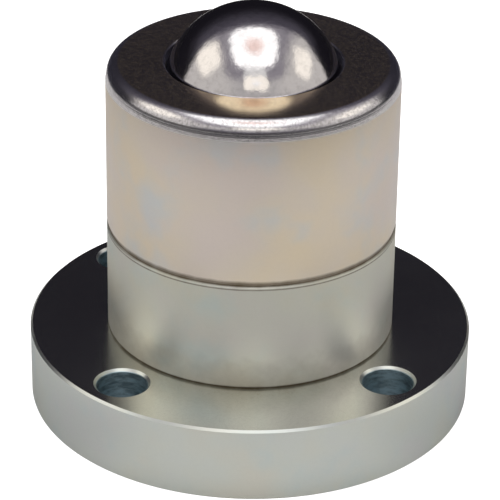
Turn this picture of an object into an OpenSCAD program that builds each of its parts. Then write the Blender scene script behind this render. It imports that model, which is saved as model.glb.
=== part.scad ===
// Flange-mounted ball transfer unit, in millimetres.
// A load ball rolls in any direction on a cup full of small bearing balls.
// The flange stands on z = 0, and +Z points up through the load ball.

/* [Load ball] */
// Diameter of the load ball
ball_d = 15.875; // [14:0.005:17.5]
// How far the load ball stands above the top face of the cap
ball_rise = 5.05; // [4:0.05:5.7]
// Gap between the load ball and the edge of the cap's opening, at the top face
lip_gap = 0.4; // [0.2:0.01:0.45]
// Gap between the load ball and the fixed parts that reach around it
ball_relief = 0.12; // [0.05:0.01:0.2]

/* [Bearing balls] */
// Diameter of each bearing ball
bead_d = 2.381; // [2.2:0.001:2.6]
// Rolling gap on each side of a bearing ball, to the load ball and to the race
bead_play = 0.03; // [0.01:0.01:0.08]
// Gap between neighbouring bearing balls
bead_gap = 0.04; // [0.02:0.01:0.2]
// Angle from the load ball's equator down to the top row of bearing balls, in degrees
row_drop = 14; // [10:0.5:30]
// Turn of each row of bearing balls against the row below it, in degrees
row_turn = 37; // [0:1:90]

/* [Race cup] */
// Wall thickness of the hardened cup
cup_wall = 1; // [0.8:0.05:1.2]
// Gap between the cup and its seat in the housing
seat_fit = 0.02; // [0.01:0.01:0.05]
// Height from the top of the housing's spigot up to the load ball's centre
seat_drop = 6.7; // [5.5:0.1:8]

/* [Cap] */
// Outer diameter of the cap and the housing
body_d = 25.9; // [24.8:0.1:34]
// Height of the cap, from the joint to the top face
cap_h = 15.4; // [14:0.05:20]
// Thickness of the cap's roof
roof_t = 1.2; // [1:0.05:1.6]
// Radius of the cap's rounded top edge
cap_round = 1.2; // [0.5:0.1:2.5]
// Height of the bevel round the cap's lower edge
cap_bevel_h = 0.5; // [0.2:0.05:1]
// Depth of the bevel round the cap's lower edge
cap_bevel_w = 0.15; // [0.1:0.05:0.6]
// Edge break round the cap's opening
lip_break = 0.15; // [0.05:0.05:0.3]
// Gap between the cap's bore and the cup
cup_fit = 0.05; // [0.02:0.01:0.15]
// Gap between the cap's bore and the housing's spigot
thread_fit = 0.03; // [0.01:0.01:0.1]

/* [Keeper, felt and washer] */
// Gap between the top row of bearing balls and the keeper ring
keeper_play = 0.05; // [0.02:0.01:0.15]
// Thickness of the keeper ring
keeper_t = 0.6; // [0.4:0.05:0.8]
// Gap between the load ball and the felt that wipes it
felt_gap = 0.05; // [0.02:0.01:0.15]
// Thickness of the washer above the felt
washer_t = 0.4; // [0.3:0.05:0.6]
// Gap round the keeper, the felt and the washer, inside the cap
ring_fit = 0.05; // [0.02:0.01:0.15]
// Edge break on the keeper ring and the washer
ring_break = 0.1; // [0.05:0.01:0.15]

/* [Housing] */
// Height of the housing between the flange and the cap
base_h = 10.15; // [8:0.05:16]
// Edge break round the foot of the housing
foot_break = 0.2; // [0.1:0.05:0.6]
// Edge break round the housing's shoulder, at the joint
shoulder_break = 0.2; // [0.1:0.05:0.6]
// Lead-in chamfer on the top of the spigot and in the mouth of the cap's bore
spigot_lead = 0.5; // [0.2:0.05:0.8]
// Depth of the undercut at the foot of the spigot
undercut_w = 0.5; // [0.2:0.05:0.8]
// Height of the undercut at the foot of the spigot
undercut_h = 1.2; // [0.6:0.1:1.8]
// Diameter of the boss that centres the housing in the flange
boss_d = 9; // [7:0.1:10]
// Gap between the boss and the flange's bore
boss_fit = 0.02; // [0.01:0.01:0.05]
// Depth of the boss's end below the flange's underside
boss_sink = 0.3; // [0.1:0.05:0.8]
// Width of the lathe centre mark in the boss's end
centre_d = 2.6; // [1:0.1:4]

/* [Flange] */
// Radial width of the flange outside the housing
flange_rim = 7.05; // [6.5:0.05:12]
// Thickness of the flange
flange_t = 6.9; // [6:0.1:12]
// Edge break round the flange's rim
rim_break = 0.2; // [0.1:0.05:0.6]
// Number of mounting holes
hole_n = 4; // [3:1:4]
// Diameter of each mounting hole
hole_d = 4.5; // [3.4:0.1:5]
// Distance from the housing's wall to the centre of each mounting hole
hole_offset = 3.55; // [3.2:0.05:3.8]
// Chamfer round both ends of each mounting hole
hole_break = 0.25; // [0.1:0.05:0.4]

/* [Base screws] */
// Thread diameter of the screws that hold the housing on the flange
screw_d = 3; // [2.5:0.1:3.2]
// Diameter of the screw heads
head_d = 5.5; // [4.5:0.1:5.8]
// Height of the screw heads
head_h = 3; // [2:0.1:3.2]
// Depth of the screw heads below the flange's underside
head_sink = 0.3; // [0.1:0.05:0.8]
// Width across the flats of the hexagon socket
socket_w = 2.5; // [1.5:0.1:3]
// Depth of the hexagon socket
socket_h = 1.6; // [1:0.1:1.8]
// Length of screw thread inside the housing
screw_bite = 6; // [4:0.1:8]
// Distance from the housing's wall in to the centre of each base screw
screw_offset = 3.95; // [3.6:0.05:4.4]
// Gap round a screw in its threaded hole
screw_fit = 0.03; // [0.01:0.01:0.08]
// Gap round a screw's shank in the flange
shank_gap = 0.2; // [0.1:0.05:0.3]
// Gap round a screw's head in its counterbore
head_gap = 0.3; // [0.1:0.05:0.4]
// Thickness of the spring lock washers
lock_t = 0.8; // [0.6:0.05:1]
// Radial width of the spring lock washers
lock_w = 1; // [0.6:0.05:1.1]
// Gap between a lock washer's bore and the screw
lock_gap = 0.1; // [0.05:0.05:0.15]
// Width of the split in a lock washer
lock_split = 0.6; // [0.3:0.1:1]

/* [Hidden] */
// Rows of bearing balls: as many as fit from the one at the bottom up to the top row
bead_pitch = bead_d + bead_gap;
orbit_r = ball_d / 2 + bead_play + bead_d / 2;
row_span = 90 - row_drop;
rows = 1 + floor(row_span / (2 * asin(bead_pitch / (2 * orbit_r))));
// Base screws, each with its lock washer
screws = 4;
$fn = 96;
eps = 0.01;

// Heights up the axis
joint_z = flange_t + base_h;
top_z = joint_z + cap_h;
ball_z = top_z + ball_rise - ball_d / 2;
spigot_z = ball_z - seat_drop;
roof_z = top_z - roof_t;

// Radii of the load ball, its race and the walls around them
ball_r = ball_d / 2;
bead_r = bead_d / 2;
body_r = body_d / 2;
race_r = orbit_r + bead_r + bead_play;
cup_r = race_r + cup_wall;
bore_r = cup_r + cup_fit;
spigot_r = bore_r - thread_fit;
ring_r = bore_r - ring_fit;
lip_r = sqrt(pow(ball_r, 2) - pow(ball_r - ball_rise, 2)) + lip_gap;

// Angle, radius, height and count of row k of the bearing balls
function row_angle(k) = (k - 1) * row_span / (rows - 1);
function row_r(k) = orbit_r * sin(row_angle(k));
function row_z(k) = ball_z - orbit_r * cos(row_angle(k));
function row_count(k) = k == 1 ? 1 : floor(180 / asin(bead_pitch / (2 * row_r(k))));

// The stack that the cap clamps on the cup's rim
rim_z = row_z(rows) + bead_r + keeper_play;
keeper_z = rim_z + keeper_t;
washer_z = roof_z - washer_t;

// Flange and screws
flange_r = body_r + flange_rim;
hole_r = hole_d / 2;
hole_at = body_r + hole_offset;
screw_at = body_r - screw_offset;
hole_turn = 45;
boss_r = boss_d / 2;
counterbore_h = head_sink + head_h + lock_t;
counterbore_r = head_d / 2 + head_gap;
thread_r = screw_d / 2 + screw_fit;
screw_top = flange_t + screw_bite;
thread_spare = 1;
tip_break = 0.4;

// A turned disc or ring: r_in to r_out, z_low to z_high, with both outer edges broken
module turned_ring(r_in, r_out, z_low, z_high, edge) {
    rotate_extrude()
        polygon([
            [r_in, z_low], [r_out - edge, z_low], [r_out, z_low + edge],
            [r_out, z_high - edge], [r_out - edge, z_high], [r_in, z_high]
        ]);
}

// A child at each mounting hole
module at_holes() {
    for (k = [0:hole_n - 1])
        rotate(hole_turn + 360 * k / hole_n)
            translate([hole_at, 0, 0])
                children();
}

// A child at base screw k, or at every one of them
module at_screw(k) {
    rotate(360 * (k - 1) / screws)
        translate([screw_at, 0, 0])
            children();
}

module at_screws() {
    for (k = [1:screws])
        at_screw(k)
            children();
}

// A through hole along Z with a chamfer at both mouths
module chamfered_hole(r, h, edge) {
    translate([0, 0, -eps])
        cylinder(r = r, h = h + 2 * eps);
    translate([0, 0, -eps])
        cylinder(r1 = r + edge + eps, r2 = r, h = edge + eps);
    translate([0, 0, h - edge])
        cylinder(r1 = r, r2 = r + edge + eps, h = edge + eps);
}

// Flange: a turned plate, drilled for four bolts and counterbored from below
module flange_plate() {
    color("lightgray")
        difference() {
            turned_ring(boss_r + boss_fit, flange_r, 0, flange_t, rim_break);
            at_holes()
                chamfered_hole(hole_r, flange_t, hole_break);
            at_screws() {
                translate([0, 0, -eps])
                    cylinder(r = screw_d / 2 + shank_gap, h = flange_t + 2 * eps);
                translate([0, 0, -eps])
                    cylinder(r = counterbore_r, h = counterbore_h + eps);
            }
        }
}

// Section of the lower housing: boss, body, undercut and spigot
module housing_section() {
    polygon([
        [0, boss_sink], [boss_r - foot_break, boss_sink], [boss_r, boss_sink + foot_break],
        [boss_r, flange_t], [body_r - foot_break, flange_t], [body_r, flange_t + foot_break],
        [body_r, joint_z - shoulder_break], [body_r - shoulder_break, joint_z],
        [spigot_r - undercut_w, joint_z], [spigot_r - undercut_w, joint_z + undercut_h - undercut_w],
        [spigot_r, joint_z + undercut_h], [spigot_r, spigot_z - spigot_lead],
        [spigot_r - spigot_lead, spigot_z], [0, spigot_z]
    ]);
}

// Lower housing: carries the race cup in a round seat and the cap on its spigot
module lower_housing() {
    color("silver")
        difference() {
            rotate_extrude()
                housing_section();
            translate([0, 0, ball_z])
                sphere(r = cup_r + seat_fit);
            translate([0, 0, boss_sink - eps])
                cylinder(r1 = centre_d / 2, r2 = 0, h = centre_d / 2);
            at_screws()
                translate([0, 0, flange_t - eps])
                    cylinder(r = thread_r, h = screw_bite + thread_spare + eps);
        }
}

// Race cup: a hardened bowl that the bearing balls run in
module race_cup() {
    color("gray")
        difference() {
            intersection() {
                translate([0, 0, ball_z])
                    sphere(r = cup_r);
                cylinder(r = cup_r, h = rim_z);
            }
            translate([0, 0, ball_z])
                sphere(r = race_r);
        }
}

// Row k of the bearing balls, on a ring round the lower half of the load ball
module bearing_row(k) {
    color("whitesmoke")
        for (i = [0:row_count(k) - 1])
            rotate(row_turn * k + 360 * i / row_count(k))
                translate([row_r(k), 0, row_z(k)])
                    sphere(r = bead_r, $fn = 32);
}

// Load ball
module main_ball() {
    color("lightsteelblue")
        translate([0, 0, ball_z])
            sphere(r = ball_r);
}

// Keeper ring: lies on the cup's rim and keeps the bearing balls below it
module keeper_ring() {
    color("darkgray")
        turned_ring(ball_r + ball_relief, ring_r, rim_z, keeper_z, ring_break);
}

// Felt seal: a thick ring whose bore wipes the load ball
module felt_seal() {
    color("dimgray")
        difference() {
            translate([0, 0, keeper_z])
                cylinder(r = ring_r, h = washer_z - keeper_z);
            translate([0, 0, ball_z])
                sphere(r = ball_r + felt_gap);
        }
}

// Seal washer: backs the felt under the cap's roof
module seal_washer() {
    color("darkgray")
        turned_ring(ball_r + ball_relief, ring_r, washer_z, roof_z, ring_break);
}

// Half section of the cap's outside, with a rounded top edge and a bevelled foot
module cap_outline() {
    polygon([
        [0, joint_z], [body_r - cap_bevel_w, joint_z], [body_r, joint_z + cap_bevel_h],
        [body_r, top_z - cap_round], [body_r - cap_round, top_z], [0, top_z]
    ]);
    translate([body_r - cap_round, top_z - cap_round])
        intersection() {
            circle(r = cap_round);
            square(cap_round);
        }
}

// Top cap: screws down over the spigot, clamps the stack and keeps the load ball in
module top_cap() {
    color("silver")
        difference() {
            rotate_extrude()
                cap_outline();
            translate([0, 0, joint_z - eps])
                cylinder(r = bore_r, h = cap_h - roof_t + eps);
            translate([0, 0, joint_z - eps])
                cylinder(r1 = bore_r + spigot_lead + eps, r2 = bore_r, h = spigot_lead + eps);
            translate([0, 0, roof_z - eps])
                cylinder(r = lip_r, h = roof_t + 2 * eps);
            translate([0, 0, top_z - lip_break])
                cylinder(r1 = lip_r, r2 = lip_r + lip_break + eps, h = lip_break + eps);
            translate([0, 0, ball_z])
                sphere(r = ball_r + ball_relief);
        }
}

// Base screw k: a hexagon socket cap screw, head down, from the flange into the housing
module base_screw(k) {
    color("darkslategray")
        at_screw(k)
            difference() {
                union() {
                    translate([0, 0, head_sink])
                        cylinder(r = head_d / 2, h = head_h);
                    translate([0, 0, head_sink])
                        cylinder(r = screw_d / 2, h = screw_top - tip_break - head_sink);
                    translate([0, 0, screw_top - tip_break])
                        cylinder(r1 = screw_d / 2, r2 = screw_d / 2 - tip_break, h = tip_break);
                }
                translate([0, 0, head_sink - eps])
                    cylinder(d = socket_w / cos(30), h = socket_h + eps, $fn = 6);
            }
}

// Spring lock washer under the head of base screw k
module lock_washer(k) {
    color("slategray")
        at_screw(k)
            translate([0, 0, head_sink + head_h])
                difference() {
                    cylinder(r = screw_d / 2 + lock_gap + lock_w, h = lock_t);
                    translate([0, 0, -eps])
                        cylinder(r = screw_d / 2 + lock_gap, h = lock_t + 2 * eps);
                    translate([0, -lock_split / 2, -eps])
                        cube([screw_d + lock_w, lock_split, lock_t + 2 * eps]);
                }
}

flange_plate();
lower_housing();
race_cup();
for (k = [1:rows])
    bearing_row(k);
main_ball();
keeper_ring();
felt_seal();
seal_washer();
top_cap();
for (k = [1:screws])
    base_screw(k);
for (k = [1:screws])
    lock_washer(k);
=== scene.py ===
# %% [markdown]
# # A flange-mounted ball transfer unit
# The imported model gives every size: the round flange, the turned housing, the cap and the load ball.
# This script keeps that frame and dresses it: finer turned meshes, plated and polished metals,
# a pale floor and soft studio light. All lengths are in metres, as the frame's are.

import math

import bmesh
import bpy
from mathutils import Matrix, Vector


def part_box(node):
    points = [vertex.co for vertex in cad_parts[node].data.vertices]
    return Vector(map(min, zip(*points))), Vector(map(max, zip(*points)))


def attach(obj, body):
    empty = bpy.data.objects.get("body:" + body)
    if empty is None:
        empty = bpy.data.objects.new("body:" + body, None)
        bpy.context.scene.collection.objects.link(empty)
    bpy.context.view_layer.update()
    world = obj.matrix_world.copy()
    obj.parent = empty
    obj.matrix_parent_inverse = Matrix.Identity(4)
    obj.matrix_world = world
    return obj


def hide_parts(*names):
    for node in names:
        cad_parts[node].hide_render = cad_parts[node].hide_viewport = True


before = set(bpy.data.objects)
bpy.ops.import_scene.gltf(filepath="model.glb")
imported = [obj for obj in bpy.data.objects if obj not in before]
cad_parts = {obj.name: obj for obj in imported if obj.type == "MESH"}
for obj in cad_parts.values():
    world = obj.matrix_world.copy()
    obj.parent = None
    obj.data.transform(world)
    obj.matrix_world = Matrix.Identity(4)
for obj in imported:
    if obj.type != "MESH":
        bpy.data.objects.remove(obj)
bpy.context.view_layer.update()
MM = 0.001

# %% [markdown]
# ## Sizes taken from the frame
# A turned part is known by a few radii and heights. The CAD boxes give most of them, so the
# dressed pieces can't drift away from the solids. What a box can't tell, such as an edge break,
# is a named size further on, next to the piece that has it.

# %% Read the main radii and heights
flange_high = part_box("flange_plate")[1]
housing_low, housing_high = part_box("lower_housing")
cap_low, cap_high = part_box("top_cap")
ball_low, ball_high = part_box("main_ball")

FLANGE_R = flange_high.x
FLANGE_TOP = flange_high.z
BODY_R = housing_high.x
BOSS_Z = housing_low.z
SPIGOT_Z = housing_high.z
JOINT_Z = cap_low.z
CAP_TOP = cap_high.z
BALL_R = (ball_high.z - ball_low.z) / 2
BALL_Z = (ball_high.z + ball_low.z) / 2
print("radii in mm:", [round(r / MM, 3) for r in (FLANGE_R, BODY_R, BALL_R)])
print("heights in mm:", [round(z / MM, 3) for z in (FLANGE_TOP, JOINT_Z, CAP_TOP, BALL_Z)])

# %% [markdown]
# ## Short words for shader nodes
# A finish is a graph of small nodes. Adding each one by hand takes three or four lines, so a few
# helpers do it in one: they take plain values or the sockets of other nodes alike, and hand back
# the socket that the next step needs.

# %% Write the node helpers
def set_inputs(tree, node, inputs):
    """Fills inputs by name or number: another node's socket is linked, anything else is a fixed value."""
    for key, value in inputs.items():
        if isinstance(value, bpy.types.NodeSocket):
            tree.links.new(value, node.inputs[key])
        else:
            node.inputs[key].default_value = value


def add_node(tree, kind, inputs=None, **settings):
    """Adds a node, sets its properties and fills its inputs."""
    node = tree.nodes.new("ShaderNode" + kind)
    for key, value in settings.items():
        setattr(node, key, value)
    set_inputs(tree, node, inputs or {})
    return node


def math_node(tree, operation, *values, clamp=False):
    """A Math node's result for one, two or three values or sockets."""
    return add_node(tree, "Math", dict(enumerate(values)), operation=operation, use_clamp=clamp).outputs[0]


def inverted(tree, value):
    """1 minus a value, which turns a mask inside out."""
    return math_node(tree, "SUBTRACT", 1.0, value)


def mix_colour(tree, factor, first, second):
    """The first colour, going over to the second as the factor goes from 0 to 1."""
    return add_node(tree, "Mix", {0: factor, 6: first, 7: second}, data_type="RGBA").outputs[2]


def smooth_step(tree, value, low, high):
    """0 below low and 1 above high, with a smooth run between."""
    inputs = {"Value": value, "From Min": low, "From Max": high}
    return add_node(tree, "MapRange", inputs, interpolation_type="SMOOTHSTEP").outputs[0]


def noise(tree, vector, scale, **inputs):
    """A 3-D noise, about 0.5 on average, and finer as the scale rises."""
    return add_node(tree, "TexNoise", {"Vector": vector, "Scale": scale, **inputs}).outputs[0]


def mapped(tree, vector, **inputs):
    """A pattern's coordinates, moved, mirrored or squeezed by a Mapping node."""
    return add_node(tree, "Mapping", {"Vector": vector, **inputs}).outputs[0]


def split_xyz(tree, vector):
    """The x, y and z of a vector."""
    return add_node(tree, "SeparateXYZ", {0: vector}).outputs[:3]


def flat_length(tree, x, y):
    """The length of (x, y), such as a point's distance from an upright axis."""
    flat = add_node(tree, "CombineXYZ", {0: x, 1: y}).outputs[0]
    return add_node(tree, "VectorMath", {0: flat}, operation="LENGTH").outputs["Value"]


def bump(tree, height, strength, depth):
    """A surface normal that follows a height pattern."""
    return add_node(tree, "Bump", {"Height": height, "Strength": strength, "Distance": depth}).outputs[0]


def darker(colour, share):
    """A colour taken down to a share of its brightness."""
    return tuple(share * channel for channel in colour[:3]) + (1,)


print("node helpers ready")

# %% [markdown]
# ## Shader groups
# Several finishes share the same effects: clouds, the fine rings that a lathe leaves, the grain of
# plating, brown films at joints, and painted shade on the walls of bores. Each could be drawn
# afresh in every material. As a node group it is built once and placed with its own values.

# %% Start a shader group
def new_group(name, inputs, outputs):
    """An empty group. inputs are (name, type, default), outputs are (name, type)."""
    group = bpy.data.node_groups.new(name, "ShaderNodeTree")
    for label, kind, default in inputs:
        socket = group.interface.new_socket(label, in_out="INPUT", socket_type="NodeSocket" + kind)
        if default is not None:
            socket.default_value = default
    for label, kind in outputs:
        group.interface.new_socket(label, in_out="OUTPUT", socket_type="NodeSocket" + kind)
    return group, group.nodes.new("NodeGroupInput").outputs, group.nodes.new("NodeGroupOutput")


GROUPS = {}
print("shader groups so far:", len(GROUPS))

# %% [markdown]
# ### Chromate bloom
# A passivated zinc plate is never one colour. Its film is a few hundred nanometres thick, and where
# it is a little thicker the plate drifts to beige, pink or blue-green, in soft clouds some
# millimetres across. A painted texture could show them, but two slow noises need no drawing and
# run on over every edge of the piece.

# %% Build the bloom group
SECOND_CLOUDS = (0.31, 0.17, 0.23)
SECOND_SCALE = 1.7
WARM_RUN = (0.44, 0.68)
ROSE_RUN = (0.3, 0.54)
COOL_RUN = (0.5, 0.8)


def build_bloom_group():
    """The plate's own colour, drifting towards three tints. Cloud is the wide noise by itself."""
    group, given, out = new_group(
        "chromate_bloom",
        [("Vector", "Vector", None), ("Scale", "Float", 60.0), ("Plate", "Color", (0.6, 0.6, 0.58, 1)),
         ("Warm", "Color", (0.64, 0.57, 0.5, 1)), ("Cool", "Color", (0.53, 0.6, 0.62, 1)),
         ("Rose", "Color", (0.62, 0.57, 0.56, 1)), ("Amount", "Float", 0.7)],
        [("Color", "Color"), ("Cloud", "Float")],
    )
    wide = noise(group, given["Vector"], given["Scale"], Detail=3.0, Roughness=0.5)
    second_place = mapped(group, given["Vector"], Location=SECOND_CLOUDS)
    second_scale = math_node(group, "MULTIPLY", given["Scale"], SECOND_SCALE)
    other = noise(group, second_place, second_scale, Detail=3.0, Roughness=0.55)
    masks = {
        "Warm": smooth_step(group, wide, *WARM_RUN),
        "Rose": inverted(group, smooth_step(group, wide, *ROSE_RUN)),
        "Cool": smooth_step(group, other, *COOL_RUN),
    }
    colour = given["Plate"]
    for tint, mask in masks.items():
        share = math_node(group, "MULTIPLY", mask, given["Amount"])
        colour = mix_colour(group, share, colour, given[tint])
    set_inputs(group, out, {"Color": colour, "Cloud": wide})
    return group


GROUPS["bloom"] = build_bloom_group()
print("group:", GROUPS["bloom"].name)

# %% [markdown]
# ### Lathe rings and plating grain
# A tool leaves fine uneven grooves, round a face and round a wall. A noise along one line, radius
# plus height, gives both at once. On top of them the plating has a tight grain of crystals, which
# breaks up a reflection the way that satin does.

# %% Build the rings and grain groups
def build_rings_group():
    """Lathe rings: uneven fine grooves that follow radius on a face and height on a wall."""
    group, given, out = new_group(
        "lathe_rings",
        [("Vector", "Vector", None), ("Rings per Metre", "Float", 6000.0)],
        [("Height", "Float")],
    )
    x, y, height = split_xyz(group, given["Vector"])
    along = math_node(group, "ADD", flat_length(group, x, y), height)
    place = math_node(group, "MULTIPLY", along, given["Rings per Metre"])
    rings = add_node(group, "TexNoise", {"W": place, "Scale": 1.0, "Detail": 2.0}, noise_dimensions="1D")
    set_inputs(group, out, {"Height": rings.outputs[0]})
    return group


def build_grain_group():
    """Plating grain: a tight speckle. Speck is 1 in its open spots."""
    group, given, out = new_group(
        "plating_grain",
        [("Vector", "Vector", None), ("Scale", "Float", 4000.0)],
        [("Height", "Float"), ("Speck", "Float")],
    )
    fine = noise(group, given["Vector"], given["Scale"], Detail=3.0, Roughness=0.8)
    set_inputs(group, out, {"Height": fine, "Speck": smooth_step(group, fine, 0.4, 0.68)})
    return group


GROUPS["rings"] = build_rings_group()
GROUPS["grain"] = build_grain_group()
print("groups:", GROUPS["rings"].name, GROUPS["grain"].name)

# %% [markdown]
# ### Joint films and bore walls
# Oil and dirt creep out of a joint and dry there as a brown film. A mask that is 1 at the joint's
# height and fades over a short spread shows it, with noise to break up its edge; a wide one paints
# shade at the housing's foot. The wall of a drilled hole gets little light, so it is given painted
# shade, and it keeps the drill's rings. A second mask finds such walls by their distance from the
# holes' axes, which needs no extra material on the piece.

# %% Build the film and bore groups
FILM_SCALE = 900.0
BORE_BLEND = 0.05 * MM
MARK_SCALE = 1900.0
MARK_SQUEEZE = (0.3, 0.3, 1)


def build_film_group():
    """Joint film: 1 at a joint's height and fading over a short spread, broken up by noise."""
    group, given, out = new_group(
        "joint_film",
        [("Vector", "Vector", None), ("Joint Height", "Float", 0.0), ("Spread", "Float", 0.4 * MM)],
        [("Mask", "Float")],
    )
    height = split_xyz(group, given["Vector"])[2]
    away = math_node(group, "ABSOLUTE", math_node(group, "SUBTRACT", height, given["Joint Height"]))
    share = math_node(group, "DIVIDE", away, given["Spread"])
    broken = noise(group, given["Vector"], FILM_SCALE, Detail=3.0)
    uneven = math_node(group, "MULTIPLY_ADD", broken, -0.6, 1.3)
    set_inputs(group, out, {"Mask": math_node(group, "SUBTRACT", uneven, share, clamp=True)})
    return group


def build_bore_group():
    """Bore walls: 1 within Radius of the upright axes that stand at plus and minus Offset in x and y.
    Marks are the uneven rings that a drill leaves."""
    group, given, out = new_group(
        "bore_wall",
        [("Vector", "Vector", None), ("Offset", "Float", 0.0), ("Radius", "Float", 2 * MM)],
        [("Mask", "Float"), ("Marks", "Float")],
    )
    sides = [
        math_node(group, "SUBTRACT", math_node(group, "ABSOLUTE", side), given["Offset"])
        for side in split_xyz(group, given["Vector"])[:2]
    ]
    rim = math_node(group, "ADD", given["Radius"], BORE_BLEND)
    mask = inverted(group, smooth_step(group, flat_length(group, *sides), given["Radius"], rim))
    squeezed = mapped(group, given["Vector"], Scale=MARK_SQUEEZE)
    marks = noise(group, squeezed, MARK_SCALE, Detail=4.0, Roughness=0.7)
    set_inputs(group, out, {"Mask": mask, "Marks": marks})
    return group


GROUPS["film"] = build_film_group()
GROUPS["bore"] = build_bore_group()
print("groups:", GROUPS["film"].name, GROUPS["bore"].name)

# %% [markdown]
# ## Zinc plate
# The flange, the housing and the cap are turned steel, zinc plated and passivated. Such a plate is
# a soft mirror: metallic, slightly rough, and clouded by its film. It is built up as on the real
# part. The clouds cover the walls, the flat faces have a smoother finish of their own, and specks,
# films and bores are laid over them. Each layer is a function, so each can be read by itself.

# %% Place a group, and start a material
def use_group(tree, name, inputs):
    """Places a shared group in a material and fills its inputs."""
    return add_node(tree, "Group", inputs, node_tree=GROUPS[name]).outputs


def new_material(name):
    """A material with its Principled shader and the object's own coordinates."""
    material = bpy.data.materials.new(name)
    material.use_nodes = True
    tree = material.node_tree
    return material, tree, tree.nodes["Principled BSDF"], add_node(tree, "TexCoord").outputs["Object"]


print("materials start from the Principled shader")

# %% [markdown]
# ### Faces and polished edge
# A lathe leaves a flat face smoother than a wall, so the face has its own tint and roughness, and
# it looks darker head-on than at a slant. Faces are told from walls by the normal, which points
# straight up on them. The cap's upper edge was polished, and there the grain shows openly.

# %% Write the layers for faces and edge
UPWARD = (0.96, 0.995)
HEAD_ON = 0.7
EDGE_RISE = (-0.2 * MM, 0.1 * MM)


def face_mask(tree):
    """1 on the flat faces on top, 0 on walls and round edges."""
    up = split_xyz(tree, add_node(tree, "TexCoord").outputs["Normal"])[2]
    return smooth_step(tree, up, *UPWARD)


def face_colour(tree, tint):
    """A face's colour: its tint at a slant, darker head-on."""
    facing = add_node(tree, "LayerWeight", {"Blend": 0.5}).outputs["Facing"]
    return mix_colour(tree, smooth_step(tree, facing, 0.0, 0.5), darker(tint, HEAD_ON), tint)


def edge_mask(tree, place, height, flat):
    """1 above a height, except on the flat faces."""
    low, high = (height + rise for rise in EDGE_RISE)
    above = smooth_step(tree, split_xyz(tree, place)[2], low, high)
    return math_node(tree, "MULTIPLY", above, inverted(tree, flat))


print("a face head-on keeps", HEAD_ON, "of its tint")

# %% [markdown]
# ### Specks, films and bores
# These are laid over the plate one after another. A speck is a dull pit in the grain. A film is
# brown, rough and not metallic, so it changes all three by its share; the same layer paints the
# shade at the housing's foot. A bore's wall is plated like the rest, and only gets painted shade
# in its tint, the drill's marks and a little more roughness.

# %% Write the layers for specks, films and bores
SPECK_GREY = (0.24, 0.22, 0.22, 1)
SPECKS_MORE = 0.07
SPECKS_LEAST = 0.02
SPECK_ROUGHER = 0.1
# the films' brown, which also paints the shade at the housing's foot
FILM_AND_SHADE_BROWN = (0.12, 0.092, 0.052, 1)
FILM_ROUGHER = 0.3
FILM_LESS_METAL = -0.8
MARK_SHADE = 0.45
BORE_ROUGHER = 0.1


def lay_specks(tree, speck, openness, colour, rough):
    """Pits in the grain: many where the grain is open, few elsewhere."""
    share = math_node(tree, "MULTIPLY_ADD", openness, SPECKS_MORE, SPECKS_LEAST)
    specks = math_node(tree, "MULTIPLY", speck, share)
    rough = math_node(tree, "MULTIPLY_ADD", specks, SPECK_ROUGHER, rough)
    return mix_colour(tree, specks, colour, SPECK_GREY), rough


def lay_film_and_shade(tree, place, film, colour, rough, metal):
    """One brown film at a joint, or the painted shade at the housing's foot, given as (height, spread,
    share).
    """
    height, spread, share = film
    mask = use_group(tree, "film", {"Vector": place, "Joint Height": height, "Spread": spread})["Mask"]
    stain_and_shade = math_node(tree, "MULTIPLY", mask, share)
    colour = mix_colour(tree, stain_and_shade, colour, FILM_AND_SHADE_BROWN)
    rough = math_node(tree, "MULTIPLY_ADD", stain_and_shade, FILM_ROUGHER, rough)
    metal = math_node(tree, "MULTIPLY_ADD", stain_and_shade, FILM_LESS_METAL, metal)
    return colour, rough, metal


def lay_bore_shade(tree, place, bore, colour, rough):
    """Painted shade on the walls of bores, in their tint and with the drill's marks."""
    wall = use_group(tree, "bore", {"Vector": place, "Offset": bore["offset"], "Radius": bore["radius"]})
    dents = smooth_step(tree, wall["Marks"], 0.35, 0.65)
    shade_with_marks = mix_colour(tree, dents, darker(bore["tint"], MARK_SHADE), bore["tint"])
    colour = mix_colour(tree, wall["Mask"], colour, shade_with_marks)
    return colour, math_node(tree, "MULTIPLY_ADD", wall["Mask"], BORE_ROUGHER, rough)


print("layers: specks, films, bores")

# %% [markdown]
# ### The whole plate
# The layers meet in one function, so that each piece can have its own tints, as parts from
# different plating baths do. Reflections are drawn out across the lathe rings, a quarter turn from
# a tangent that runs round the axis. Dust on a face is a loss of metal in its specks, and haze is
# a thin sheen over the whole piece.

# %% Write the zinc plate
CLOUD_SCALE = 95.0
CLOUD_AMOUNT = 0.8
RINGS_PER_METRE = 5200.0
GRAIN_SCALE = 3800.0
MIRRORED = (-1, 1, 1)
CLOUD_ROUGHER = 0.1
GRAIN_HEIGHT = 0.8
PLATE_BUMP = 0.1
EDGE_BUMP = 0.4
EDGE_GRAIN = 5.0
HAZE_TINT = (0.66, 0.64, 0.95, 1)


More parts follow.
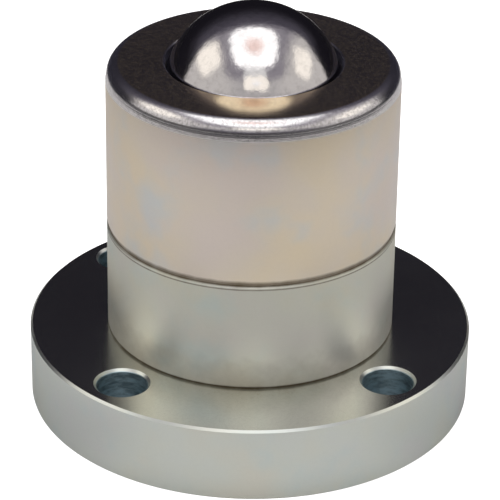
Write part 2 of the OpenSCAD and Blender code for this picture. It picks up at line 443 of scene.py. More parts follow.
def zinc_plate(name, tints, roughness, face, shift, films_and_shade=(), bore=None, edge=None):
    """Plated steel. tints are the bloom's colours and roughness is the walls'. face has the flat faces'
    tint, roughness and dust, and the piece's haze. shift moves the clouds, so that no two pieces have
    the same. The films list has (height, spread, share) for brown films and for painted shade. edge
    has the height, roughness and tint of a polished upper edge, and bore the offset, radius and tint
    of the painted shade on bore walls."""
    material, tree, shader, place = new_material(name)
    clouds = mapped(tree, place, Location=shift, Scale=MIRRORED)
    drift = {"Vector": clouds, "Scale": CLOUD_SCALE, "Amount": CLOUD_AMOUNT}
    bloom = use_group(tree, "bloom", {**drift, **tints})
    rings = use_group(tree, "rings", {"Vector": place, "Rings per Metre": RINGS_PER_METRE})
    grain = use_group(tree, "grain", {"Vector": place, "Scale": GRAIN_SCALE})
    flat = face_mask(tree)
    colour = mix_colour(tree, flat, bloom["Color"], face_colour(tree, face["tint"]))
    rough = math_node(tree, "MULTIPLY_ADD", flat, face["roughness"] - roughness, roughness)
    openness, strength = flat, PLATE_BUMP
    if edge:
        polished = edge_mask(tree, place, edge["height"], flat)
        colour = mix_colour(tree, polished, colour, edge["tint"])
        rough = math_node(tree, "MULTIPLY_ADD", polished, edge["roughness"] - roughness, rough)
        openness = math_node(tree, "MULTIPLY_ADD", polished, EDGE_GRAIN, flat)
        strength = math_node(tree, "MULTIPLY_ADD", polished, EDGE_BUMP, PLATE_BUMP)
    rough = math_node(tree, "SUBTRACT", rough, CLOUD_ROUGHER / 2)
    rough = math_node(tree, "MULTIPLY_ADD", bloom["Cloud"], CLOUD_ROUGHER, rough)
    colour, rough = lay_specks(tree, grain["Speck"], openness, colour, rough)
    dull = math_node(tree, "MULTIPLY", grain["Speck"], flat)
    metal = math_node(tree, "MULTIPLY_ADD", dull, -face["dust"], 1.0)
    for film in films_and_shade:
        colour, rough, metal = lay_film_and_shade(tree, place, film, colour, rough, metal)
    if bore:
        colour, rough = lay_bore_shade(tree, place, bore, colour, rough)
    height = math_node(tree, "MULTIPLY_ADD", grain["Height"], GRAIN_HEIGHT, rings["Height"])
    set_inputs(tree, shader, {
        "Base Color": colour, "Roughness": rough, "Metallic": metal,
        "Normal": bump(tree, height, strength, 0.02 * MM),
        "Sheen Weight": face["haze"], "Sheen Tint": HAZE_TINT, "Sheen Roughness": 0.5,
        "Anisotropic": 0.4, "Anisotropic Rotation": 0.25,
        "Tangent": add_node(tree, "Tangent", direction_type="RADIAL", axis="Z").outputs[0],
    })
    return material


print("clouds are about", round(1 / CLOUD_SCALE / MM, 1), "mm across")

# %% [markdown]
# ### The cap's plate
# The cap is the warmest of the three. Its face is an olive brown that has picked up dust, its
# upper edge is polished, and a brown film has crept up from the joint. The opening's wall has
# near-black painted shade, because light hardly gets in between it and the ball.

# %% Plate the cap
LIP_GAP = 0.4 * MM
LIP_R = math.sqrt(BALL_R ** 2 - (CAP_TOP - BALL_Z) ** 2) + LIP_GAP
cap_zinc = zinc_plate(
    "cap_zinc",
    tints={"Plate": (0.81, 0.735, 0.64, 1), "Warm": (0.87, 0.755, 0.57, 1),
           "Cool": (0.68, 0.73, 0.77, 1), "Rose": (0.79, 0.71, 0.68, 1)},
    roughness=0.34,
    face={"tint": (0.66, 0.53, 0.33, 1), "roughness": 0.13, "dust": 0.035, "haze": 0.08},
    shift=(0.05, 0.02, 0.03),
    films_and_shade=[(JOINT_Z, 0.17 * MM, 1.0), (JOINT_Z + 0.18 * MM, 0.34 * MM, 0.85)],
    # the opening's near-black tint is painted shade
    bore={"offset": 0.0, "radius": LIP_R, "tint": (0.03, 0.03, 0.035, 1)},
    edge={"height": CAP_TOP - 1.7 * MM, "roughness": 0.2, "tint": (0.78, 0.765, 0.79, 1)},
)
print("material:", cap_zinc.name, "opening in mm:", round(2 * LIP_R / MM, 2))

# %% [markdown]
# ### The housing's plate
# The housing is greener and duller than the cap. Films run along both of its joints: two thin
# lines under the cap and one at the foot, where a wide faint painted shade darkens the wall too.

# %% Plate the housing
housing_zinc = zinc_plate(
    "housing_zinc",
    tints={"Plate": (0.69, 0.705, 0.64, 1), "Warm": (0.72, 0.69, 0.58, 1),
           "Cool": (0.61, 0.7, 0.69, 1), "Rose": (0.69, 0.68, 0.65, 1)},
    roughness=0.47,
    face={"tint": (0.7, 0.7, 0.64, 1), "roughness": 0.2, "dust": 0.0, "haze": 0.0},
    shift=(0.2, 0.1, 0.05),
    films_and_shade=[
        (JOINT_Z - 0.04 * MM, 0.15 * MM, 1.0), (JOINT_Z - 0.36 * MM, 0.1 * MM, 0.8),
        # the thin line at the foot is a film; the wide faint one is painted shade where the housing meets the
        # flange
        (FLANGE_TOP, 0.3 * MM, 1.0), (FLANGE_TOP, 3.2 * MM, 0.42),
    ],
)
print("material:", housing_zinc.name)

# %% [markdown]
# ### The flange's plate
# The flange is the palest and bluest piece, with a clean face. Its bores are the four mounting
# holes, which stand on the diagonals, so one offset in x and y finds all of them. Their walls are
# painted darker as shade, in a blue-green tint.

# %% Plate the flange
HOLE_R = 2.25 * MM
HOLE_AT = 16.5 * MM
flange_zinc = zinc_plate(
    "flange_zinc",
    tints={"Plate": (0.72, 0.77, 0.74, 1), "Warm": (0.76, 0.75, 0.68, 1),
           "Cool": (0.62, 0.73, 0.76, 1), "Rose": (0.72, 0.73, 0.74, 1)},
    roughness=0.34,
    face={"tint": (0.84, 0.86, 0.82, 1), "roughness": 0.17, "dust": 0.008, "haze": 0.0},
    shift=(0.4, 0.3, 0.1),
    # the holes' darker blue-green tint is painted shade on their walls
    bore={"offset": HOLE_AT / math.sqrt(2), "radius": HOLE_R + 0.02 * MM, "tint": (0.46, 0.6, 0.66, 1)},
)
print("material:", flange_zinc.name)

# %% [markdown]
# ## Polished and dark steels, and felt
# The load ball is bearing steel, lapped to a mirror, with the faint haze of handling. The hidden
# cup, keeper and washer are hardened steel with a straw-brown temper. The screws are black oxide.
# The felt is a soft fibre mat, so it scatters light instead of mirroring it.

# %% Polish the bearing steel
SMEAR_SCALE = 260.0
LUMP_SCALE = 1500.0
WORN_SHARE = 0.87


def polished_steel(name, colour):
    """A mirror with haze: low roughness that rises in faint smears, over a slightly lumpy lapping."""
    material, tree, shader, place = new_material(name)
    smears = noise(tree, place, SMEAR_SCALE, Detail=5.0, Roughness=0.65)
    lumps = noise(tree, place, LUMP_SCALE, Detail=3.0, Roughness=0.6)
    worn = smooth_step(tree, lumps, 0.4, 0.75)
    set_inputs(tree, shader, {
        "Base Color": mix_colour(tree, worn, colour, darker(colour, WORN_SHARE)),
        "Roughness": math_node(tree, "MULTIPLY_ADD", smears, 0.12, 0.06),
        "Metallic": 1.0, "Normal": bump(tree, lumps, 0.5, 0.03 * MM),
    })
    return material


ball_steel = polished_steel("ball_steel", (0.72, 0.7, 0.71, 1))
print("material:", ball_steel.name)

# %% [markdown]
# ### Hardened and blackened steel
# Heat leaves a thin oxide on steel, in the same kind of clouds as a chromate film, so the bloom
# group serves again with browner tints. The grain gives the matt look of a ground surface.

# %% Temper the dark steels
def dark_steel(name, colour, haze, roughness):
    """Hardened or blackened steel: ground matt, under a clouded film. Its rose clouds keep the bloom
    group's own pale tint, for the spots where the oxide is thin."""
    material, tree, shader, place = new_material(name)
    tints = {"Plate": colour, "Warm": haze, "Cool": colour}
    bloom = use_group(tree, "bloom", {"Vector": place, "Scale": 300.0, "Amount": 0.8, **tints})
    grain = use_group(tree, "grain", {"Vector": place, "Scale": 5000.0})
    set_inputs(tree, shader, {
        "Base Color": bloom["Color"], "Metallic": 1.0,
        "Roughness": math_node(tree, "MULTIPLY_ADD", grain["Height"], 0.2, roughness - 0.1),
        "Normal": bump(tree, grain["Height"], 0.2, 0.02 * MM),
    })
    return material


hardened_steel = dark_steel("hardened_steel", (0.34, 0.32, 0.3, 1), (0.36, 0.28, 0.18, 1), 0.32)
screw_black = dark_steel("screw_black", (0.07, 0.07, 0.075, 1), (0.1, 0.09, 0.08, 1), 0.38)
print("materials:", hardened_steel.name, screw_black.name)

# %% [markdown]
# ### Felt
# Real fibres would be far too many for a ring this small. Two noises stand in for them: a stretched
# and distorted one for the hairs, and a coarse one for the lumps that matting leaves.

# %% Press the felt
def pressed_felt(name, light, dark):
    """Matted fibres, from hairs and lumps multiplied."""
    material, tree, shader, place = new_material(name)
    stretched = mapped(tree, place, Scale=(1.0, 1.0, 3.0))
    hairs = noise(tree, stretched, 2600.0, Detail=6.0, Distortion=1.6)
    lumps = noise(tree, place, 420.0, Detail=2.0)
    fibres = math_node(tree, "MULTIPLY", hairs, lumps)
    set_inputs(tree, shader, {
        "Base Color": mix_colour(tree, smooth_step(tree, fibres, 0.12, 0.4), dark, light),
        "Roughness": 0.95, "Sheen Weight": 0.4, "Normal": bump(tree, fibres, 0.7, 0.1 * MM),
    })
    return material


oiled_felt = pressed_felt("oiled_felt", (0.13, 0.12, 0.11, 1), (0.04, 0.035, 0.03, 1))
print("material:", oiled_felt.name)

# %% [markdown]
# ## Turning a section
# A lathe makes a part by spinning it past a tool, and the spin operator does the same with
# a section: a few points joined by edges are swept once round the axis. Arcs in a section are
# themselves a point spun about a centre.

# %% Draw and spin a section
TURN_STEPS = 192
WELD = 1e-7


def add_point(bm, verts, radius, height):
    """Adds a point to the section and joins the last one to it."""
    verts.append(bm.verts.new((radius, 0, height)))
    if len(verts) > 1:
        bm.edges.new((verts[-2], verts[-1]))


def add_arc(bm, verts, centre_z, turn, steps):
    """Sweeps the last point of the section about (0, 0, centre_z), by spinning it in the plane y = 0."""
    swept = bmesh.ops.spin(
        bm, geom=[verts[-1]], cent=(0, 0, centre_z), axis=(0, 1, 0), dvec=(0, 0, 0),
        angle=turn, steps=steps, space=Matrix.Identity(4), use_merge=False, use_duplicate=False,
    )
    verts.append([item for item in swept["geom_last"] if isinstance(item, bmesh.types.BMVert)][0])


def draw_section(section, closed):
    """A bmesh with the section's points and edges alone."""
    bm = bmesh.new()
    verts = []
    for item in section:
        if item[0] == "arc":
            add_arc(bm, verts, *item[1:])
        else:
            add_point(bm, verts, *item)
    if closed:
        bm.edges.new((verts[-1], verts[0]))
    return bm


print("a turned piece has", TURN_STEPS, "steps round, unless it says otherwise")

# %% [markdown]
# ### Rounded corners
# Each corner of the section has become a ring of edges round the axis. A bevel of that ring rounds
# it after the spin, which keeps the section short and the rounding true.

# %% Turn a section and round its corners
def ring_edges(bm, radius, height):
    """The edges that run round the axis at this radius and height."""
    def on_ring(vert):
        return abs(vert.co.xy.length - radius) < WELD * 10 and abs(vert.co.z - height) < WELD * 10
    return [edge for edge in bm.edges if all(on_ring(vert) for vert in edge.verts)]


def turned(section, closed=False, rounds=(), steps=TURN_STEPS):
    """A bmesh turned from a section: (radius, height) points, and ("arc", centre_z, turn, steps) stretches.
    rounds lists (radius, height, size, segments) for the corners to round off."""
    bm = draw_section(section, closed)
    bmesh.ops.spin(
        bm, geom=bm.verts[:] + bm.edges[:], cent=(0, 0, 0), axis=(0, 0, 1), dvec=(0, 0, 0),
        angle=2 * math.pi, steps=steps, space=Matrix.Identity(4), use_merge=True, use_duplicate=False,
    )
    bmesh.ops.remove_doubles(bm, verts=bm.verts, dist=WELD)
    bmesh.ops.recalc_face_normals(bm, faces=bm.faces)
    for radius, height, size, segments in rounds:
        bmesh.ops.bevel(
            bm, geom=ring_edges(bm, radius, height), offset=size, offset_type="OFFSET",
            segments=segments, profile=0.5, affect="EDGES", material=-1, clamp_overlap=True,
        )
    return bm


print("points closer than", round(WELD / MM, 5), "mm are welded")

# %% [markdown]
# ### From mesh to piece
# A bmesh becomes an object, takes its finish and is tied to the body that carries it, and the CAD
# node that it stands for is hidden. Round stretches are shaded smooth, and corners past 28 degrees
# stay crisp, as machined ones are.

# %% Make and finish a piece
SMOOTH_ANGLE = math.radians(28)


def make_object(name, bm):
    """A new object that owns the bmesh's geometry."""
    mesh = bpy.data.meshes.new(name)
    bm.to_mesh(mesh)
    bm.free()
    piece = bpy.data.objects.new(name, mesh)
    bpy.context.scene.collection.objects.link(piece)
    return piece


def finish_piece(piece, body, stands_for, material):
    """Gives a new piece its body and its finish, and hides the CAD node that it stands for."""
    piece.data.shade_smooth()
    piece.data.set_sharp_from_angle(angle=SMOOTH_ANGLE)
    piece.data.materials.clear()
    piece.data.materials.append(material)
    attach(piece, body)
    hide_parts(stands_for)
    piece.data.calc_loop_triangles()
    print(piece.name, "has", len(piece.data.loop_triangles), "triangles")


print("corners sharper than", round(math.degrees(SMOOTH_ANGLE)), "degrees stay crisp")

# %% [markdown]
# ### Drilling
# A boolean does what a drill or a mill does: it takes one solid out of another. The exact solver is
# slower than the fast one, but it stays true where a cutter's face lies close to the piece's own.
# A cutter is made on the axis and then moved to its place round it.

# %% Cut a piece
OVER = 0.5 * MM


def around(angle, radius, bm):
    """Moves a bmesh out from the axis and round it by an angle."""
    bmesh.ops.translate(bm, verts=bm.verts, vec=(radius, 0, 0))
    bmesh.ops.rotate(bm, verts=bm.verts, cent=(0, 0, 0), matrix=Matrix.Rotation(angle, 3, "Z"))
    return bm


def cut(piece, cutters):
    """Cuts the cutters out of the piece, bakes the cuts into its mesh and removes the cutters."""
    for cutter in cutters:
        boolean = piece.modifiers.new("cut", "BOOLEAN")
        boolean.operation = "DIFFERENCE"
        boolean.solver = "EXACT"
        boolean.object = cutter
    bpy.context.view_layer.update()
    graph = bpy.context.evaluated_depsgraph_get()
    mesh = bpy.data.meshes.new_from_object(piece.evaluated_get(graph))
    piece.modifiers.clear()
    piece.data = mesh
    for cutter in cutters:
        bpy.data.objects.remove(cutter)


print("cutters stand out by", round(OVER / MM, 2), "mm")

# %% [markdown]
# ## Flange
# On the lathe it is a disc with a bore and broken edges. The drill and the counterbore come next,
# so here a boolean takes out four chamfered through holes and four counterbores from below. The
# cutters are turned pins, which gives each hole its chamfer in the same cut.

# %% Turn the drills
HOLE_BREAK = 0.25 * MM
COUNTERBORE_R = 3.05 * MM
SHANK_HOLE_R = 1.7 * MM
COUNTERBORE_Z = 4.1 * MM


def hole_pin():
    """A drill of the hole's radius that flares at both faces of the flange."""
    flare = HOLE_R + HOLE_BREAK + OVER
    return turned([
        (0, -OVER), (flare, -OVER), (HOLE_R, HOLE_BREAK),
        (HOLE_R, FLANGE_TOP - HOLE_BREAK), (flare, FLANGE_TOP + OVER), (0, FLANGE_TOP + OVER),
    ], steps=64)


def counterbore_pin():
    """A stepped drill: the screw head's pocket below, the shank's hole above."""
    return turned([
        (0, -OVER), (COUNTERBORE_R, -OVER), (COUNTERBORE_R, COUNTERBORE_Z),
        (SHANK_HOLE_R, COUNTERBORE_Z), (SHANK_HOLE_R, FLANGE_TOP + OVER), (0, FLANGE_TOP + OVER),
    ], steps=48)


print("drills in mm:", [round(2 * r / MM, 2) for r in (HOLE_R, COUNTERBORE_R, SHANK_HOLE_R)])

# %% [markdown]
# ### The disc
# It is turned as a closed section and drilled. Its lower rim is rounded, since that edge is broken
# by hand, and the upper one has the flat chamfer that a tool leaves.

# %% Turn and drill the flange
RIM_BREAK = 0.2 * MM
EDGE_SEGMENTS = 3
BORE_R = 4.52 * MM
HOLE_COUNT = 4
HOLE_TURN = math.radians(45)
SCREW_AT = 9.0 * MM
SCREW_COUNT = 4

flange = make_object("flange", turned(
    [(BORE_R, 0), (FLANGE_R, 0), (FLANGE_R, FLANGE_TOP), (BORE_R, FLANGE_TOP)], closed=True,
    rounds=[(FLANGE_R, 0, RIM_BREAK, EDGE_SEGMENTS), (FLANGE_R, FLANGE_TOP, RIM_BREAK, 1)],
))
hole_cutters = [
    make_object(f"hole_cutter_{k}", around(HOLE_TURN + 2 * math.pi * k / HOLE_COUNT, HOLE_AT, hole_pin()))
    for k in range(HOLE_COUNT)
]
screw_cutters = [
    make_object(f"screw_cutter_{k}", around(2 * math.pi * k / SCREW_COUNT, SCREW_AT, counterbore_pin()))
    for k in range(SCREW_COUNT)
]
cut(flange, hole_cutters + screw_cutters)
finish_piece(flange, "housing", "flange_plate", flange_zinc)

# %% [markdown]
# ## Lower housing
# One turned piece: a boss that centres it in the flange, the body, an undercut and the spigot that
# the cap screws on to. The round seat for the race cup is an arc of the section, spun about the
# load ball's centre, so cup and seat share that centre as they do on the lathe.

# %% Turn the lower housing
cup_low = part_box("race_cup")[0]
BOSS_R = 4.5 * MM
FOOT_BREAK = 0.2 * MM
SHOULDER_BREAK = 0.2 * MM
CENTRE_MARK_R = 1.3 * MM
SPIGOT_R = 11.3985 * MM
SPIGOT_LEAD = 0.5 * MM
UNDERCUT = 0.5 * MM
UNDERCUT_TOP = JOINT_Z + 1.2 * MM
SEAT_R = BALL_Z - cup_low.z + 0.02 * MM
SEAT_ARC_STEPS = 24

seat_edge_angle = math.acos((BALL_Z - SPIGOT_Z) / SEAT_R)
seat_edge_r = SEAT_R * math.sin(seat_edge_angle)
housing = make_object("housing", turned(
    [
        (0, BOSS_Z + CENTRE_MARK_R), (CENTRE_MARK_R, BOSS_Z), (BOSS_R, BOSS_Z),
        (BOSS_R, FLANGE_TOP), (BODY_R - FOOT_BREAK, FLANGE_TOP), (BODY_R, FLANGE_TOP + FOOT_BREAK),
        (BODY_R, JOINT_Z - SHOULDER_BREAK), (BODY_R - SHOULDER_BREAK, JOINT_Z),
        (SPIGOT_R - UNDERCUT, JOINT_Z), (SPIGOT_R - UNDERCUT, UNDERCUT_TOP - UNDERCUT),
        (SPIGOT_R, UNDERCUT_TOP), (SPIGOT_R, SPIGOT_Z - SPIGOT_LEAD), (SPIGOT_R - SPIGOT_LEAD, SPIGOT_Z),
        (seat_edge_r, SPIGOT_Z), ("arc", BALL_Z, seat_edge_angle, SEAT_ARC_STEPS),
    ],
    rounds=[(BOSS_R, BOSS_Z, FOOT_BREAK, EDGE_SEGMENTS)],
))
finish_piece(housing, "housing", "lower_housing", housing_zinc)

# %% [markdown]
# ## Top cap
# A deep cup turned upside down. Its rounded shoulder is what catches the light, so it gets many
# segments. Just under the shoulder the tool ran out inwards by a hair, which draws the fine dark
# line there. The corner is then blunter than square, so its bevel is set back by only 0.86 of the
# radius. Inside, a short arc about the ball's centre relieves the roof, and the sharp opening above
# it is a little smaller than the ball, which is what keeps the ball in.

# %% Turn the top cap
CAP_ROUND = 1.2 * MM
CAP_ROUND_SEGMENTS = 16
SET_BACK = 0.86
CAP_BEVEL_W = 0.15 * MM
CAP_BEVEL_H = 0.5 * MM
CAP_BORE_R = 11.4285 * MM
ROOF_Z = CAP_TOP - 1.2 * MM
RELIEF_R = BALL_R + 0.12 * MM
RELIEF_ARC_STEPS = 6
LIP_BREAK = 0.15 * MM
RUN_OUT_Z = CAP_TOP - 1.65 * MM
RUN_OUT_W = 0.25 * MM

relief_low = math.acos((ROOF_Z - BALL_Z) / RELIEF_R)
relief_high = math.asin(LIP_R / RELIEF_R)
cap = make_object("cap", turned(
    [
        (CAP_BORE_R + SPIGOT_LEAD, JOINT_Z), (BODY_R - CAP_BEVEL_W, JOINT_Z), (BODY_R, JOINT_Z + CAP_BEVEL_H),
        (BODY_R, RUN_OUT_Z),
        (BODY_R - RUN_OUT_W, CAP_TOP), (LIP_R + LIP_BREAK, CAP_TOP), (LIP_R, CAP_TOP - LIP_BREAK),
        (LIP_R, BALL_Z + RELIEF_R * math.cos(relief_high)),
        ("arc", BALL_Z, relief_low - relief_high, RELIEF_ARC_STEPS),
        (CAP_BORE_R, ROOF_Z), (CAP_BORE_R, JOINT_Z + SPIGOT_LEAD),
    ],
    closed=True,
    rounds=[(BODY_R - RUN_OUT_W, CAP_TOP, CAP_ROUND * SET_BACK, CAP_ROUND_SEGMENTS)],
))
finish_piece(cap, "housing", "top_cap", cap_zinc)

# %% [markdown]
# ## Load ball
# A ball is the one form that no section improves on. It is a fine sphere, because its mirror
# finish would show every facet, and its poles lie on the vertical axis, out of the highlights' way.

# %% Make the load ball
BALL_STEPS_ROUND = 160
BALL_STEPS_UP = 96

ball_bm = bmesh.new()
bmesh.ops.create_uvsphere(
    ball_bm, u_segments=BALL_STEPS_ROUND, v_segments=BALL_STEPS_UP, radius=BALL_R,
    matrix=Matrix.Translation((0, 0, BALL_Z)),
)
finish_piece(make_object("ball", ball_bm), "load_ball", "main_ball", ball_steel)

# %% [markdown]
# ## Felt seal
# It fills the space between the keeper and the washer, and its bore follows the ball. The bore is
# again an arc about the ball's centre, so the felt stays close to the ball at every height.

# %% Turn the felt seal
felt_low, felt_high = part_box("felt_seal")
FELT_BORE_R = BALL_R + 0.05 * MM
FELT_ARC_STEPS = 10

felt_top = math.acos((felt_high.z - BALL_Z) / FELT_BORE_R)
felt_foot = math.acos((felt_low.z - BALL_Z) / FELT_BORE_R)
felt = make_object("felt", turned(
    [
        (felt_high.x, felt_low.z), (felt_high.x, felt_high.z),
        (FELT_BORE_R * math.sin(felt_top), felt_high.z),
        ("arc", BALL_Z, felt_foot - felt_top, FELT_ARC_STEPS),
    ],
    closed=True,
))
finish_piece(felt, "housing", "felt_seal", oiled_felt)

# %% [markdown]
# ## Base screws
# Each is a socket cap screw that shows only its head, from below. The head is turned with
# a rounded edge, and a six-sided prism cuts the socket, as a punch presses the real one.

# %% Turn a screw and its punch
screw_low, screw_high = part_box("base_screw_1")
HEAD_R = (screw_high.y - screw_low.y) / 2
HEAD_TOP = screw_low.z + 3.0 * MM
HEAD_ROUND = 0.3 * MM
HEAD_BREAK = 0.1 * MM
SHANK_R = 1.5 * MM
TIP_BREAK = 0.4 * MM
SOCKET_SIDES = 6
SOCKET_R = 1.25 * MM / math.cos(math.pi / SOCKET_SIDES)
SOCKET_DEPTH = 1.6 * MM


def screw_blank():
    """The screw before its socket is pressed."""
    return turned(
        [
            (0, screw_low.z), (HEAD_R, screw_low.z), (HEAD_R, HEAD_TOP), (SHANK_R, HEAD_TOP),
            (SHANK_R, screw_high.z - TIP_BREAK), (SHANK_R - TIP_BREAK, screw_high.z), (0, screw_high.z),
        ],
        rounds=[(HEAD_R, screw_low.z, HEAD_ROUND, 4), (HEAD_R, HEAD_TOP, HEAD_BREAK, 2)], steps=64,
    )


def socket_punch():
    """The six-sided punch, which starts a little below the head's face."""
    bm = bmesh.new()
    depth = SOCKET_DEPTH + OVER
    bmesh.ops.create_cone(
        bm, cap_ends=True, cap_tris=False, segments=SOCKET_SIDES, radius1=SOCKET_R, radius2=SOCKET_R,
        depth=depth, matrix=Matrix.Translation((0, 0, screw_low.z - OVER + depth / 2)),
    )
    return bm


print("screw head in mm:", round(2 * HEAD_R / MM, 2), "across")

# %% [markdown]
# ### Four of them
# A loop puts the screws round the axis, in the flange's counterbores.

# %% Make the base screws
for k in range(SCREW_COUNT):
    turn = 2 * math.pi * k / SCREW_COUNT
    screw = make_object(f"screw_{k + 1}", around(turn, SCREW_AT, screw_blank()))
    punch = make_object(f"punch_{k + 1}", around(turn, SCREW_AT, socket_punch()))
    cut(screw, [punch])
    finish_piece(screw, "housing", f"base_screw_{k + 1}", screw_black)

# %% [markdown]
# ## Pieces that keep their CAD form
# The cup, the keeper, the washers and the bearing balls are out of sight, and their solids are
# right as they are. They only get their finish.

# %% Finish the carried-over nodes
CARRIED = {
    "race_cup": hardened_steel, "keeper_ring": hardened_steel, "seal_washer": hardened_steel,
    **{f"lock_washer_{k + 1}": screw_black for k in range(SCREW_COUNT)},
    **{name: ball_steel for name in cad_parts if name.startswith("bearing_balls_")},
}
for name, material in CARRIED.items():
    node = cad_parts[name]
    node.data.materials.clear()
    node.data.materials.append(material)
print("carried over:", len(CARRIED), "nodes")

# %% [markdown]
# ## Studio
# Polished metal shows its surroundings, so the studio is half of the finish. It has a floor, a dark
# cloth, glowing cards and a lamp. Each can be hidden from one kind of ray, so it may stand where
# the metal needs it.

# %% Write the stage helpers
def plain_material(name, colour, camera_glow=0.0):
    """A matt stage material. camera_glow lifts it towards white for the camera alone."""
    material, tree, shader, _ = new_material(name)
    set_inputs(tree, shader, {"Base Color": colour, "Roughness": 0.9, "Specular IOR Level": 0.0})
    if camera_glow:
        seen = add_node(tree, "LightPath").outputs["Is Camera Ray"]
        glow = math_node(tree, "MULTIPLY", seen, camera_glow)
        set_inputs(tree, shader, {"Emission Color": (1, 1, 1, 1), "Emission Strength": glow})
    return material


def hide_from(thing, *rays):
    """Hides a stage object from some kinds of ray: camera, diffuse, glossy or shadow."""
    for ray in rays:
        setattr(thing, f"visible_{ray}", False)


def stage_object(name, bm, material):
    """A stage object, which is no part of the unit."""
    thing = make_object(name, bm)
    thing.data.materials.append(material)
    return thing


print("stage helpers ready")

# %% [markdown]
# ### Floor
# The floor is pale and glows for the camera, so that it looks like paper. It is a ring that starts
# under the flange's rim, which leaves the underside open. Left and right of the unit a little
# painted shade lies on it, and farther out painted light, because the turned walls mirror those
# places as dark and bright stripes. From 12 cm outwards a dark cloth lies on it, in reflections
# alone. It keeps the lower walls from mirroring white all the way.

# %% Lay the floor
FLOOR_WHITE = (0.62, 0.62, 0.61, 1)
# the next two colours are painted shade beside the unit and painted light farther out
FLOOR_SHADED = (0.49, 0.5, 0.5, 1)
FLOOR_PAINTED_LIGHT = (0.71, 0.71, 0.69, 1)
FLOOR_R = 3.0
CLOTH_FROM_R = 122 * MM
CLOTH_TO_R = 2.8
CLOTH_Z = 0.5 * MM


def shade_floor(tree):
    """The floor's colour: painted shade beside the unit, and painted light farther out at both sides of the
    front.
    """
    ground = add_node(tree, "TexCoord").outputs["Object"]
    x, y, _ = split_xyz(tree, ground)
    aside = math_node(tree, "ABSOLUTE", x)
    away = add_node(tree, "VectorMath", {0: ground}, operation="LENGTH").outputs["Value"]
    beside = smooth_step(tree, aside, 12 * MM, 21 * MM)
    near = inverted(tree, smooth_step(tree, away, 24 * MM, 32 * MM))
    colour = mix_colour(tree, math_node(tree, "MULTIPLY", beside, near), FLOOR_WHITE, FLOOR_SHADED)
    outward = math_node(tree, "MULTIPLY_ADD", aside, 0.8, math_node(tree, "MULTIPLY", y, -0.6))
    return mix_colour(tree, smooth_step(tree, outward, 28 * MM, 55 * MM), colour, FLOOR_PAINTED_LIGHT)


floor_white = plain_material("floor_white", FLOOR_WHITE, 1.0)
floor_tree = floor_white.node_tree
set_inputs(floor_tree, floor_tree.nodes["Principled BSDF"], {"Base Color": shade_floor(floor_tree)})
stage_object("floor", turned([(FLANGE_R - 0.5 * MM, 0), (FLOOR_R, 0)], steps=128), floor_white)
black_cloth = plain_material("black_cloth", (0.016, 0.015, 0.019, 1))
cloth_ring = turned([(CLOTH_FROM_R, CLOTH_Z), (CLOTH_TO_R, CLOTH_Z)], steps=64)
cloth = stage_object("dark_floor", cloth_ring, black_cloth)
hide_from(cloth, "camera", "diffuse", "shadow")
print("floor to", FLOOR_R, "m, with dark cloth from", CLOTH_FROM_R, "m")

# %% [markdown]
# ### Softboxes
# A softbox is a lit cloth in a frame with rounded corners. An area light would mirror as a hard
# rectangle, so each box is a card with a glowing material that fades out at a rounded edge. Its
# corners come from adding the fourth powers of x and y, which makes a shape between circle and
# square. The middle can have a colour of its own, as where a lamp sits behind the cloth.

# %% Sew a softbox
LOOK_AT = (0, 0, 0.03)
CORNER_POWER = 4.0


def softbox_glow(tree, size, colour, centre, sharp):
    """The colour of the cloth, and how much of it is lit: all of it inside sharp, none at the edge."""
    place = add_node(tree, "TexCoord").outputs["Object"]
    to_edge = (2 / size[0], 2 / size[1], 0)
    scaled = add_node(tree, "VectorMath", {0: place, 1: to_edge}, operation="MULTIPLY").outputs[0]
    powers = [
        math_node(tree, "POWER", math_node(tree, "ABSOLUTE", side), CORNER_POWER)
        for side in split_xyz(tree, scaled)[:2]
    ]
    reach = math_node(tree, "POWER", math_node(tree, "ADD", *powers), 1 / CORNER_POWER)
    lit = inverted(tree, smooth_step(tree, reach, sharp, 1.0))
    away = add_node(tree, "VectorMath", {0: scaled}, operation="LENGTH").outputs["Value"]
    return mix_colour(tree, smooth_step(tree, away, 0.12, 0.5), centre, colour), lit


def softbox(name, size, place, radiance, colour, centre, turn=0.0, sharp=0.84):
    """A glowing card that faces the unit. turn rolls it in its own plane, in degrees."""
    material = bpy.data.materials.new(name)
    material.use_nodes = True
    tree = material.node_tree
    tree.nodes.clear()
    glow, lit = softbox_glow(tree, size, colour, centre, sharp)
    emission = add_node(tree, "Emission", {"Color": glow, "Strength": radiance}).outputs[0]
    clear = add_node(tree, "BsdfTransparent").outputs[0]
    mixed = add_node(tree, "MixShader", {0: lit, 1: clear, 2: emission}).outputs[0]
    add_node(tree, "OutputMaterial", {"Surface": mixed})
    bm = bmesh.new()
    bmesh.ops.create_grid(bm, x_segments=1, y_segments=1, size=0.5)
    bmesh.ops.scale(bm, verts=bm.verts, vec=(*size, 1))
    card = stage_object(name, bm, material)
    facing = (Vector(place) - Vector(LOOK_AT)).to_track_quat("Z", "Y")
    card.rotation_euler = (facing @ Matrix.Rotation(math.radians(turn), 4, "Z").to_quaternion()).to_euler()
    card.location = place
    hide_from(card, "camera", "shadow")
    print(name, "is", size[0], "by", size[1], "m")


# %% [markdown]
# ### Hanging the lights
# The box overhead makes the bright band on the cap's shoulder and the big light on the ball. Two
# more stand at the sides, turned a little out of line, and draw the bright stripes up the walls.
# In front, a small box and a scrim above it fill in from over the camera. A lamp overhead lights
# the floor and is kept out of all reflections.

# %% Hang the lights
WHITE = (1.0, 0.99, 0.97, 1)
CREAM = (1.0, 0.94, 0.84, 1)
DUSKY = (0.72, 0.55, 0.5, 1)

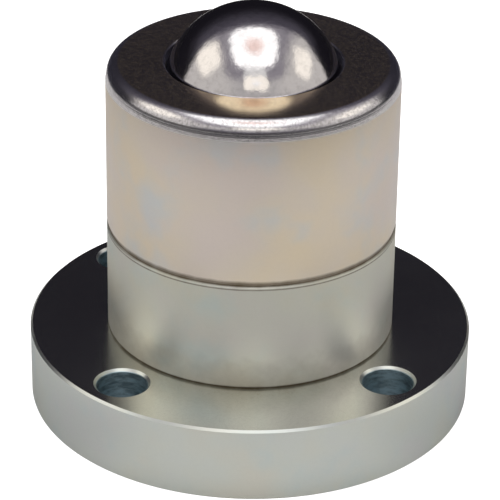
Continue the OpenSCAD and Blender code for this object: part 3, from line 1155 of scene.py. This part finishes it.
softbox("overhead_box", (0.66, 0.76), (0, -0.085, 0.62), 1.6, WHITE, DUSKY, sharp=0.74)
softbox("front_box", (0.6, 0.35), (0.02, -0.839, 0.575), 1.3, CREAM, WHITE)
softbox("front_scrim", (0.64, 0.62), (0, -0.9, 0.785), 0.85, WHITE, WHITE)
softbox("left_box", (0.8, 0.66), (-0.82, 0.0, 0.66), 1.3, CREAM, CREAM, turn=-8, sharp=0.55)
softbox("right_box", (0.76, 0.52), (0.86, -0.05, 0.575), 1.3, CREAM, CREAM, turn=26, sharp=0.55)
lamp = bpy.data.lights.new("floor_lamp", "AREA")
lamp.size = 0.6
lamp.energy = 2.5
floor_lamp = bpy.data.objects.new("floor_lamp", lamp)
floor_lamp.location = (0, -0.05, 0.65)
hide_from(floor_lamp, "camera", "glossy")
bpy.context.scene.collection.objects.link(floor_lamp)
print("floor lamp:", lamp.energy, "W")

# %% [markdown]
# ## World
# Beyond the boxes, the metal mirrors the room. The half in front of the unit is lit, and the half
# behind it is nearly black, which gives the flat tops and the ball's far side their deep tone. An
# image of a real room would bring its own clutter. Here the tone is worked out from the x, y and z
# of a direction, which run from -1 to 1. The camera itself sees plain white.

# %% Paint the lit half of the room
ROOM_GREY = (0.53, 0.51, 0.5, 1)
ROOM_SIDES = (0.66, 0.63, 0.6, 1)
ROOM_GAP = (0.3, 0.28, 0.31, 1)
ROOM_LOW = (0.115, 0.105, 0.13, 1)


def front_half(sky, aside, height):
    """Grey walls that are paler at the sides, a dim gap high up between boxes, and dark low in the middle."""
    walls = mix_colour(sky, smooth_step(sky, aside, 0.3, 0.7), ROOM_GREY, ROOM_SIDES)
    middle = inverted(sky, smooth_step(sky, aside, 0.5, 0.72))
    gap = math_node(sky, "MULTIPLY", middle, smooth_step(sky, height, 0.5, 0.66))
    walls = mix_colour(sky, gap, walls, ROOM_GAP)
    low = inverted(sky, smooth_step(sky, height, 0.1, 0.3))
    narrow = inverted(sky, smooth_step(sky, aside, 0.6, 0.85))
    return mix_colour(sky, math_node(sky, "MULTIPLY", low, narrow), walls, ROOM_LOW)


world = bpy.data.worlds.new("studio")
bpy.context.scene.world = world
world.use_nodes = True
sky = world.node_tree
x, y, height = split_xyz(sky, add_node(sky, "TexCoord").outputs["Generated"])
aside = math_node(sky, "ABSOLUTE", x)
front = front_half(sky, aside, height)
print("lit half painted in", world.name)

# %% [markdown]
# ### The dark half
# It starts at a slant, a little behind the unit, and bends forward at the sides. High up it is
# a shade lighter next to the lit half. From below comes an even grey, so that a view from beneath
# isn't black.

# %% Paint the dark half and join them
ROOM_DARK = (0.0095, 0.0085, 0.012, 1)
ROOM_HALO = (0.085, 0.078, 0.1, 1)
ROOM_BELOW = (0.42, 0.42, 0.43, 1)

widen = math_node(sky, "MULTIPLY_ADD", smooth_step(sky, aside, 0.66, 0.95), 0.5, 1.0)
behind = math_node(sky, "MULTIPLY_ADD", x, -0.06, math_node(sky, "MULTIPLY", y, widen))
halo = inverted(sky, smooth_step(sky, behind, 0.45, 0.95))
halo = math_node(sky, "MULTIPLY", halo, smooth_step(sky, height, 0.2, 0.6))
dark = mix_colour(sky, halo, ROOM_DARK, ROOM_HALO)
room = mix_colour(sky, inverted(sky, smooth_step(sky, behind, 0.36, 0.5)), dark, front)
room = mix_colour(sky, smooth_step(sky, height, -0.05, -0.2), room, ROOM_BELOW)
camera_ray = add_node(sky, "LightPath").outputs["Is Camera Ray"]
seen = mix_colour(sky, camera_ray, room, (1, 1, 1, 1))
set_inputs(sky, sky.nodes["Background"], {"Color": seen, "Strength": 1.0})
print("world:", world.name, "with", len(sky.nodes), "nodes")

# %% [markdown]
# ## Camera
# A long lens looks down at the unit from the front, a few degrees round to its left and rolled by
# a hair, as a hand-levelled camera is.

# %% Place the camera
LENS = 196.4
CAMERA_AZIMUTH = math.radians(-2.66)
CAMERA_ELEVATION = math.radians(27.93)
CAMERA_DISTANCE = 0.2461
CAMERA_ROLL = math.radians(0.85)
AIM = Vector((-0.00009, 0, 0.01375))

back = Vector((
    math.sin(CAMERA_AZIMUTH) * math.cos(CAMERA_ELEVATION),
    -math.cos(CAMERA_AZIMUTH) * math.cos(CAMERA_ELEVATION),
    math.sin(CAMERA_ELEVATION),
))
camera = bpy.data.objects.new("camera", bpy.data.cameras.new("camera"))
bpy.context.scene.collection.objects.link(camera)
camera.data.lens = LENS
camera.data.clip_start = 0.01
camera.data.clip_end = 20
camera.rotation_mode = "QUATERNION"
camera.location = AIM + back * CAMERA_DISTANCE
roll = Matrix.Rotation(CAMERA_ROLL, 4, "Z").to_quaternion()
camera.rotation_quaternion = (-back).to_track_quat("-Z", "Y") @ roll
bpy.context.scene.camera = camera
bpy.context.scene.view_settings.view_transform = "Standard"
print("camera at, in mm:", [round(v / MM, 1) for v in camera.location])
